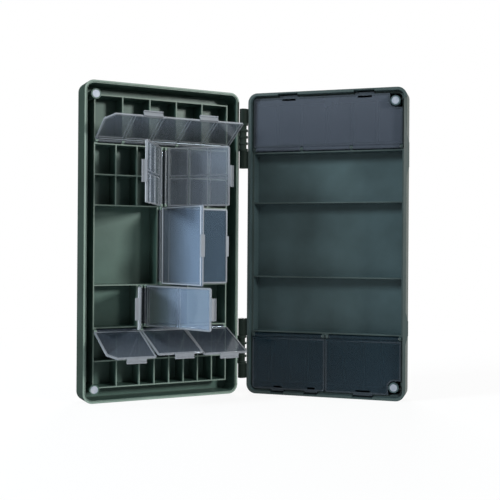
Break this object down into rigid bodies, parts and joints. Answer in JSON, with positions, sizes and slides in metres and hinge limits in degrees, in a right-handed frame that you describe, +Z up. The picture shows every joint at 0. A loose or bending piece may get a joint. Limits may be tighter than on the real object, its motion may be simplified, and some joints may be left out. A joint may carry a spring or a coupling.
{
  "type": "tackle box",
  "caption": "Double-sided moulded tackle case standing open on its end: celled tray and bayed lid on a pinned hinge, clip-down smoked inner lids and magnet closure.",
  "frame": {"origin": "centre of the bounding box in X and Y, at the level of the short ends it stands on", "axes": "+Z up along the case hinge, X across the open case, -Y towards the viewer that both halves face"},
  "size_m": [0.3758, 0.1518, 0.355],
  "materials": {
    "green_shell": "satin moulded",
    "smoked_lid": "smoked translucent",
    "steel": "drawn wire",
    "magnet": "nickel plated"
  },
  "bodies": {
    "base": {"base_shell": "green_shell", "base_magnets": "magnet", "case_hinge_pins": "steel", "row1_pin": "steel", "row2_left_pin": "steel", "row2_right_pin": "steel", "row3_left_pin": "steel", "row3_right_pin": "steel", "row4_left_pin": "steel", "row4_right_pin": "steel", "row5_right_pin": "steel", "row5_mid_pin": "steel", "row5_left_pin": "steel"},
    "case_lid": {"case_lid_shell": "green_shell", "case_lid_magnets": "magnet", "upper_pin": "steel", "lower_left_pin": "steel", "lower_right_pin": "steel"},
    "row1": {"row1_lid": "smoked_lid"},
    "row2_left": {"row2_left_lid": "smoked_lid"},
    "row2_right": {"row2_right_lid": "smoked_lid"},
    "row3_left": {"row3_left_lid": "smoked_lid"},
    "row3_right": {"row3_right_lid": "smoked_lid"},
    "row4_left": {"row4_left_lid": "smoked_lid"},
    "row4_right": {"row4_right_lid": "smoked_lid"},
    "row5_right": {"row5_right_lid": "smoked_lid"},
    "row5_mid": {"row5_mid_lid": "smoked_lid"},
    "row5_left": {"row5_left_lid": "smoked_lid"},
    "upper": {"upper_lid": "smoked_lid"},
    "lower_left": {"lower_left_lid": "smoked_lid"},
    "lower_right": {"lower_right_lid": "smoked_lid"}
  },
  "joints": [
    {"name": "case_hinge", "type": "hinge", "parent": "base", "child": "case_lid", "pos_m": [-0.00379, 0.04964, 0.1775], "axis": [0, 0, 1], "range_deg": [-137.15, 42.85]},
    {"name": "row1_hinge", "type": "hinge", "parent": "base", "child": "row1", "pos_m": [-0.09458, 0.00766, 0.2895], "axis": [0.8969, 0.4423, 0], "range_deg": [-62.01, 19.38]},
    {"name": "row2_left_hinge", "type": "hinge", "parent": "base", "child": "row2_left", "pos_m": [-0.09682, 0.00655, 0.252], "axis": [0, 0, 1], "range_deg": [-58.51, 18.29]},
    {"name": "row2_right_hinge", "type": "hinge", "parent": "base", "child": "row2_right", "pos_m": [-0.09189, 0.00898, 0.252], "axis": [0, 0, -1], "range_deg": [-44.01, 13.76]},
    {"name": "row3_left_hinge", "type": "hinge", "parent": "base", "child": "row3_left", "pos_m": [-0.09682, 0.00655, 0.173], "axis": [0, 0, 1], "range_deg": [-105.01, 32.81]},
    {"name": "row3_right_hinge", "type": "hinge", "parent": "base", "child": "row3_right", "pos_m": [-0.09189, 0.00898, 0.173], "axis": [0, 0, -1], "range_deg": [0, 35]},
    {"name": "row4_left_hinge", "type": "hinge", "parent": "base", "child": "row4_left", "pos_m": [-0.1179, -0.00384, 0.107], "axis": [0, 0, 1], "range_deg": [-70.01, 21.88]},
    {"name": "row4_right_hinge", "type": "hinge", "parent": "base", "child": "row4_right", "pos_m": [-0.11296, -0.00141, 0.107], "axis": [0, 0, -1], "range_deg": [-66.01, 20.63]},
    {"name": "row5_right_hinge", "type": "hinge", "parent": "base", "child": "row5_right", "pos_m": [-0.04615, 0.03154, 0.0788], "axis": [-0.8969, -0.4423, 0], "range_deg": [-67.81, 21.19]},
    {"name": "row5_mid_hinge", "type": "hinge", "parent": "base", "child": "row5_mid", "pos_m": [-0.09458, 0.00766, 0.0788], "axis": [-0.8969, -0.4423, 0], "range_deg": [-70.01, 21.88]},
    {"name": "row5_left_hinge", "type": "hinge", "parent": "base", "child": "row5_left", "pos_m": [-0.14211, -0.01578, 0.0788], "axis": [-0.8969, -0.4423, 0], "range_deg": [-67.21, 21]},
    {"name": "upper_hinge", "type": "hinge", "parent": "case_lid", "child": "upper", "pos_m": [0.09419, 0.02826, 0.2886], "axis": [0.9583, -0.2857, 0], "range_deg": [0, 55]},
    {"name": "lower_left_hinge", "type": "hinge", "parent": "case_lid", "child": "lower_left", "pos_m": [0.05107, 0.04112, 0.0695], "axis": [-0.9583, 0.2857, 0], "range_deg": [0, 62]},
    {"name": "lower_right_hinge", "type": "hinge", "parent": "case_lid", "child": "lower_right", "pos_m": [0.13252, 0.01684, 0.0695], "axis": [-0.9583, 0.2857, 0], "range_deg": [0, 100]}
  ],
  "couplings": [
    {"joint": "row1_hinge", "follows": "case_hinge", "ratio": 0.45206},
    {"joint": "row2_left_hinge", "follows": "case_hinge", "ratio": 0.42654},
    {"joint": "row2_right_hinge", "follows": "case_hinge", "ratio": 0.32082},
    {"joint": "row3_left_hinge", "follows": "case_hinge", "ratio": 0.76559},
    {"joint": "row4_left_hinge", "follows": "case_hinge", "ratio": 0.51039},
    {"joint": "row4_right_hinge", "follows": "case_hinge", "ratio": 0.48122},
    {"joint": "row5_right_hinge", "follows": "case_hinge", "ratio": 0.49435},
    {"joint": "row5_mid_hinge", "follows": "case_hinge", "ratio": 0.51039},
    {"joint": "row5_left_hinge", "follows": "case_hinge", "ratio": 0.48997}
  ]
}
